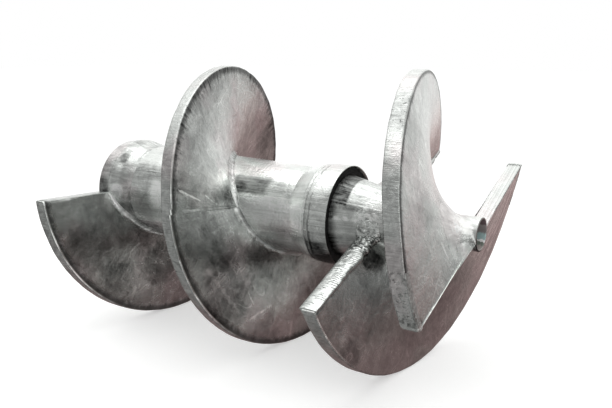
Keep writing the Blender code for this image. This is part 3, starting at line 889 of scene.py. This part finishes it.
# Blades: two half turns of heavy plate on the cone, opposite each other. Each has a rippled
# weld overlay on its leading edge, a pebbly build-up of weld metal before its root, a wide
# fillet that blends it into the nose, and a rough hard-faced rim at its end.
BLADE_PITCH = 0.3181
BLADE_LEAN = 0.080
STRIP_SWEEP = 19.0
STRIP_DEPTH = 0.012
FLARE_AXIAL = 0.045
FLARE_RADIAL = 0.070
FLARE_DELAY = 20.0
FLARE_RUNOUT = 75.0
FLARE_MARGIN = 0.0007
BEAD_HEIGHT = 0.008
BEAD_OUTER_RADIUS = 0.2472
BEAD_FALL = 0.70
BEAD_FRONT_SPILL = (0.0100, 0.0025)
BEAD_REAR_SPILL = (0.0010, 0.0020)
BEAD_DEPTH = 0.002
BEAD_SINK = 0.0004
BEAD_GROUND_FROM = 0.45
BEAD_ROWS = 28
BEAD_LENGTHS = 300
RIPPLE = 0.0042
BUILDUP_SWEEP = 38.0
BUILDUP_OVERLAP = 1.0
BUILDUP_HEIGHT = 0.009
BUILDUP_SINK = 0.0006
BUILDUP_FRONT_SPILL = 0.012
BUILDUP_REAR_SPILL = 0.004
BUILDUP_START_WIDTH = 0.75
BUILDUP_START_HEIGHT = 0.03
BUILDUP_ROWS = 56
BUILDUP_LENGTHS = 110
PEBBLE = 0.0040
PEBBLE_RISE = 0.0009
PEBBLE_FALL = 0.0017
STRIP_PROUD = 0.0002
STRIP_CORNER = 0.005
STRIP_PITTING = 0.0009
STRIP_SWAY = 0.0005
STRIP_LENGTHS = 120
STRIP_SIDE_ROWS = 7
STRIP_RIM_ROWS = 14


def blade_legs(plate, side, angle):
    """Axial and radial leg of a blade's fillets; the front one is cut short by the nose."""
    free = max(0.0, angle - plate.start)
    if side < 0:
        leg = between(FILLET_END_LEG, FILLET_LEG, min(1.0, free / FILLET_RUNOUT))
        return leg, leg
    share = min(1.0, max(0.0, free - FLARE_DELAY) / FLARE_RUNOUT)
    axial = between(FILLET_END_LEG, FLARE_AXIAL, share)
    radial = between(FILLET_END_LEG, FLARE_RADIAL, share)
    return min(axial, NOSE_END - FLARE_MARGIN - plate.root(side, angle)), radial


def edge_bead(node, plate, finish):
    """Rippled weld metal along the leading edge, that rolls over onto the front face."""
    rise = math.radians(plate.start)
    along = Vector((0, math.cos(rise), math.sin(rise)))
    before = Vector((0, math.sin(rise), -math.cos(rise)))
    plate_rear = plate.face(-1, plate.start)
    plate_front = plate.face(1, plate.start)
    inner = shaft_radius(plate_front) - BEAD_DEPTH
    rings = []
    for step in range(BEAD_LENGTHS + 1):
        share = step / BEAD_LENGTHS
        radius = between(inner, BEAD_OUTER_RADIUS, share)
        edge_spot = Vector((plate_front, radius, 0))
        lobes = 1 + 0.45 * waver(edge_spot, 0.017, plate.seed) + 0.25 * waver(
            edge_spot, 0.007, plate.seed + 2)
        front = plate_front + between(*BEAD_FRONT_SPILL, share) * lobes
        rear = plate_rear - between(*BEAD_REAR_SPILL, share)
        height = BEAD_HEIGHT * (1 - BEAD_FALL * share)
        ground = max(0.0, share - BEAD_GROUND_FROM) / (1 - BEAD_GROUND_FROM)
        section = []
        for row in range(BEAD_ROWS):
            swing = math.pi * row / (BEAD_ROWS - 1)
            station = (rear + front) / 2 - (front - rear) / 2 * math.cos(swing)
            spot = Vector((station, radius, 0))
            lumps = waver(spot, 0.016, plate.seed + 2) + 0.5 * waver(spot, 0.006, plate.seed + 4)
            lift = math.sin(swing) ** 0.6 * height * (1 + 0.14 * lumps * (1 - 0.6 * ground))
            section.append((station, lift - BEAD_SINK))
        foot = [(front - 0.0008, -0.0030), (plate_front - 0.0020, -0.0070),
                (plate_rear + 0.0020, -0.0070), (rear + 0.0004, -0.0020)]
        rings.append([Vector((REAR_END + station, 0, AXIS_HEIGHT)) + along * radius + before * lift
                      for station, lift in section + foot])
    skin(node, rings, finish)


def root_buildup(node, plate, finish):
    """A pebbly mound of weld metal that climbs from the cone to the leading edge."""
    rear = plate.face(-1, plate.start) - BUILDUP_REAR_SPILL
    front = plate.face(1, plate.start) + BUILDUP_FRONT_SPILL
    rings = []
    for step in range(BUILDUP_LENGTHS + 1):
        share = step / BUILDUP_LENGTHS
        angle = plate.start - BUILDUP_SWEEP + (BUILDUP_SWEEP + BUILDUP_OVERLAP) * share
        half_width = (front - rear) / 2 * between(BUILDUP_START_WIDTH, 1, math.sqrt(share))
        height = BUILDUP_HEIGHT * between(BUILDUP_START_HEIGHT, 1, share ** 1.6)
        ring = []
        for row in range(BUILDUP_ROWS):
            swing = math.pi * row / (BUILDUP_ROWS - 1)
            station = (rear + front) / 2 - half_width * math.cos(swing)
            crown = math.sin(swing)
            spot = place(station, shaft_radius(station) + height * crown, angle)
            pebble = noise.voronoi(spot / PEBBLE)[0][0]
            patchy = 0.5 + 0.5 * waver(spot, 0.014, plate.seed)
            lift = height * crown * (1 + 0.3 * waver(spot, 0.012, plate.seed + 1)) - BUILDUP_SINK
            lift += (PEBBLE_RISE - PEBBLE_FALL * pebble) * crown * patchy * min(1.0, share * 4)
            ring.append(place(station, shaft_radius(station) + lift, angle))
        rings.append(ring)
    skin(node, rings, finish)


def tip_strip(node, plate, finish):
    """The hard-faced rim at the end of a blade, rough and pitted, its last corner worn round."""
    start = plate.end - STRIP_SWEEP
    side = [RIM - STRIP_DEPTH + (STRIP_DEPTH - EDGE) * row / STRIP_SIDE_ROWS
            for row in range(STRIP_SIDE_ROWS + 1)]
    rings = []
    for index in range(STRIP_LENGTHS + 1):
        angle = start + (plate.end - start) * index / STRIP_LENGTHS
        from_end = (plate.end - angle) / 360 * 2 * math.pi * RIM
        corner = 1 - min(1.0, from_end / STRIP_CORNER)
        cut = STRIP_CORNER * (1 - math.sqrt(max(0.0, 1 - corner ** 2)))
        front = plate.face(1, angle) + STRIP_PROUD
        rear = front - plate.thickness - 2 * STRIP_PROUD
        outline = [(front, radius) for radius in side]
        for row in range(STRIP_RIM_ROWS + 1):
            share = row / STRIP_RIM_ROWS
            outline.append((front - EDGE * 0.4 - (front - rear - EDGE * 0.8) * share, RIM))
        outline += [(rear, radius) for radius in reversed(side)]
        ring = []
        for station, radius in outline:
            spot = place(station, radius, angle)
            pit = max(0.0, waver(spot, 0.005, 9.0)) + 0.6 * max(0.0, waver(spot, 0.002, 4.0))
            if radius > RIM - STRIP_DEPTH / 2:
                radius -= STRIP_PITTING * pit + cut
                station += STRIP_SWAY * waver(spot, 0.004, 5.0)
            ring.append(place(station, radius, angle))
        rings.append(ring)
    skin(node, rings, finish)


def bead_finish():
    """Wire-brushed overlay: nearly white, with fine dark ripple lines and a pitted inner end."""
    finish = Finish("overlay_steel")
    clouds = finish.point.clouds(28, 4, 0.6, 0.5)
    patchy = finish.point.clouds(70, 3, 0.6)
    pebbles = finish.point.clouds(190, 3, 0.7)
    grain = finish.point.clouds(420, 2)
    phase = finish.radius / RIPPLE + (clouds - 0.5) * 3.0 + (patchy - 0.5) * 2.2
    valley = abs(phase.math("FRACT", phase) - 0.5).step(0.32, 0.48)
    strokes = valley * (patchy + finish.radius.step(0.215, 0.120) * 0.16).step(0.50, 0.62)
    pitted = (finish.radius + (clouds - 0.5) * 0.03).step(0.104, 0.090)
    tone = 0.60 + (clouds - 0.5) * 0.30 + (grain - 0.5) * 0.12 - strokes * 0.30 \
        - pitted * (pebbles.step(0.62, 0.44) * 0.55 - 0.05)
    roughness = 0.30 + (clouds - 0.5) * 0.2
    height = grain * 0.12 + clouds * 0.3 - strokes * 0.5 + pitted * pebbles * 1.2
    return finish.set(finish.tinted(tone, 0.40), roughness, height, 0.0010)


def buildup_finish():
    """Pebbly weld metal: bright crowns with dark pits between them."""
    finish = Finish("buildup_steel")
    pebbles = finish.point.clouds(170, 3, 0.7, 0.4)
    clouds = finish.point.clouds(40, 3, 0.6)
    tone = 0.68 + (pebbles - 0.5) * 2.2 + (clouds - 0.5) * 0.7
    roughness = 0.28 + (clouds - 0.5) * 0.2
    return finish.set(finish.tinted(tone, 0.45), roughness, pebbles, 0.0020)


def hard_finish(name, end):
    """Hard-facing weld: dull, darker than the plate and pitted, but bright at the cut end."""
    finish = Finish(name)
    cut = finish.before(end).step(0.0090, 0.0040)
    pits = finish.point.clouds(150, 4, 0.7, 0.6)
    clouds = finish.point.clouds(40, 3, 0.6)
    tone = 0.44 + (pits - 0.5) * 1.3 + (clouds - 0.5) * 0.6 + cut * 0.40
    roughness = 0.38 + (clouds - 0.5) * 0.2
    return finish.set(finish.tinted(tone, 0.35), roughness, pits, 0.0018)


# Blade A: the first, darkest spot is painted shade in the hollow by its root; the others are stains
# and smears.
BLADE_A_STAINS_AND_SHADE = [
    (0.600, 0.088, 212, 0.029, -0.47), (0.609, 0.112, 222, 0.026, 0.12),
    (0.609, 0.240, 226, 0.036, -0.26), (0.600, 0.215, 208, 0.040, -0.10)]
# Blade B: the bright spot by its root at the nose is a painted highlight; the others are stains and
# smears.
BLADE_B_STAINS_AND_HIGHLIGHT = [
    (0.735, 0.095, 184, 0.014, 0.22), (0.738, 0.245, 195, 0.016, -0.35),
    (0.687, 0.207, 130, 0.050, -0.14), (0.712, 0.163, 156, 0.040, -0.14),
    (0.706, 0.215, 152, 0.028, 0.14), (0.616, 0.206, 50, 0.060, 0.16)]
BLADE_B_SCRATCHES = [
    ((0.7270, 0.121, 173.5), (0.7350, 0.115, 184.4), 0.0026, 0.24),
    ((0.7364, 0.147, 186.9), (0.7418, 0.193, 194.1), 0.0024, 0.12)]
# Painted highlights on the flare where it meets the nose.
FLARE_PAINTED_HIGHLIGHTS = [(0.738, 0.091, 188, 0.018, 0.20), (0.727, 0.050, 155, 0.028, 0.16)]
FLARE_SCRATCHES = [
    ((0.714, 0.055, 139.0), (0.7409, 0.0289, 147.9), 0.0022, 0.30),
    ((0.7274, 0.0603, 165.5), (0.7343, 0.0302, 130.7), 0.0022, 0.26)]
blade_a = Plate(start=BLADE_A_START, end=BLADE_A_START + 179.2, station=0.5871,
                pitch=BLADE_PITCH, thickness=0.0243, bow=0.134, lean=BLADE_LEAN, seed=6.0)
blade_b = Plate(start=BLADE_B_START, end=BLADE_B_START + 176.9, station=0.5885,
                pitch=BLADE_PITCH, thickness=0.0256, bow=0.0225, lean=BLADE_LEAN, seed=8.0)
# Blade A's dark band by its end and along its edge bead is a painted shadow.
blade_a_steel = plate_finish("blade_a_steel", grey=0.60, pink=0.46, line_width=0.0022,
                             streaking=0.06, stains_and_painted_light=BLADE_A_STAINS_AND_SHADE, end=blade_a.end,
                             end_ridge_and_shadow_tone=-0.32, end_reach=0.0120, brushing=0.8)
blade_b_steel = plate_finish("blade_b_steel", grey=0.66, pink=0.42, line_width=0.0065,
                             streaking=0.04, stains_and_painted_light=BLADE_B_STAINS_AND_HIGHLIGHT, scratches=BLADE_B_SCRATCHES,
                             end=blade_b.end, end_ridge_and_shadow_tone=0.22, corner_painted_light=-0.10, upper_rim_darkening=0.16)
overlay_steel = bead_finish()
buildup_steel = buildup_finish()
flare_steel = weld_finish("flare_steel", 0.72, 38, FLARE_PAINTED_HIGHLIGHTS, FLARE_SCRATCHES)
for blade, plate, steel in (("blade_a", blade_a, blade_a_steel), ("blade_b", blade_b, blade_b_steel)):
    skin(blade, plate.rings(PLATE_STEP), steel)
    for word, side in (("front", 1), ("rear", -1)):
        root_weld(f"{blade}_weld_{word}", plate, side, plate.start, plate.end, blade_legs,
                  flare_steel)
    edge_bead(f"{blade}_edge_bead", plate, overlay_steel)
    root_buildup(f"{blade}_root_buildup", plate, buildup_steel)
    tip_strip(f"{blade}_tip_strip", plate, hard_finish(f"{blade}_hard_facing", plate.end))

# Studio: a pale floor, a white surround, and soft light from above and from the far side.
# What the steel mirrors is a room: a bright far wall, a white sky, a dim near side, a pale
# window beyond the nose, a dark corner to the right of the wall, and a warm, dull ground.
FLOOR_SIZE = 30.0
FADE_START = 0.4
FADE_END = 2.2
floor_mesh = bpy.data.meshes.new("floor")
reach = FLOOR_SIZE / 2
floor_mesh.from_pydata([(-reach, -reach, 0), (reach, -reach, 0), (reach, reach, 0),
                        (-reach, reach, 0)], [], [(0, 1, 2, 3)])
floor = bpy.data.objects.new("floor", floor_mesh)
bpy.context.scene.collection.objects.link(floor)
floor.visible_glossy = False
floor_paint = Finish("floor_paint")
away = floor_paint.point.vector_math("LENGTH", {0: floor_paint.point}, 1)
fade = away.step(FADE_START, FADE_END)
glow = fade.blend((0.42, 0.42, 0.42, 1), (1.0, 1.0, 1.0, 1))
floor_grain = floor_paint.point.clouds(300, 2)
floor_paint.set(fade.blend((0.8, 0.8, 0.8, 1), (0.02, 0.02, 0.02, 1)),
                0.85 + floor_grain * 0.1, floor_grain, 0.0002, metallic=0.0)
feed(floor_paint.shader, {"Emission Color": glow, "Emission Strength": 1.0})
floor_mesh.materials.append(floor_paint.material)

world = bpy.data.worlds.new("studio")
bpy.context.scene.world = world
world.use_nodes = True
room = Field(world.node_tree)
heading = room.node("ShaderNodeTexCoord")
east = heading.part(0)
north = heading.part(1)
up = heading.part(2)
uneven = (heading.clouds(2.2, 3, 0.6) - 0.5) * 0.12
wall = (east + uneven).step(0.94, -0.10) * north.step(-0.10, 0.40) * up.step(-0.36, -0.06)
toward = north.math("MINIMUM", north, 0.0)
sky = (up + toward * 0.6 + east.step(0.05, 0.50) * 0.17 + uneven).step(0.40, 0.50)
near_side = north.step(0.10, -0.50) * (0.15 + up.step(-0.5, 0.5) * 0.10)
west = east.step(-0.1, -0.7) * 0.12
ground = up.step(-0.18, -0.36) * north.step(0.20, 0.50) * (0.045 + north.step(0.70, 0.95) * 0.25)
window = (east + north * 0.5).step(0.35, 0.60) * north.step(0.15, -0.10) * up.step(-0.75, -0.50)
below = (0.15 + wall * 0.90 + near_side + west + ground + window * 0.80) * (1.0 - sky)
level = below + sky * 1.12
warm = up.step(-0.05, -0.24) * north.step(-0.3, 0.3)
cast = warm.blend((0.995, 1.0, 0.99, 1), (1.0, 0.76, 0.74, 1))
seen = room.node("ShaderNodeLightPath")
backdrop = seen.blend(cast.shade(level), (1.0, 1.0, 1.0, 1))
feed(world.node_tree.nodes["Background"], {"Color": backdrop})

top_light = bpy.data.lights.new("top_light", "AREA")
top_light.shape = "SQUARE"
top_light.size = 1.4
top_light.energy = 8
lamp = bpy.data.objects.new("top_light", top_light)
lamp.location = (-0.4, 0.3, 2.2)
aim = Vector((0, 0, AXIS_HEIGHT)) - lamp.location
lamp.rotation_euler = aim.to_track_quat("-Z", "Y").to_euler()
bpy.context.scene.collection.objects.link(lamp)
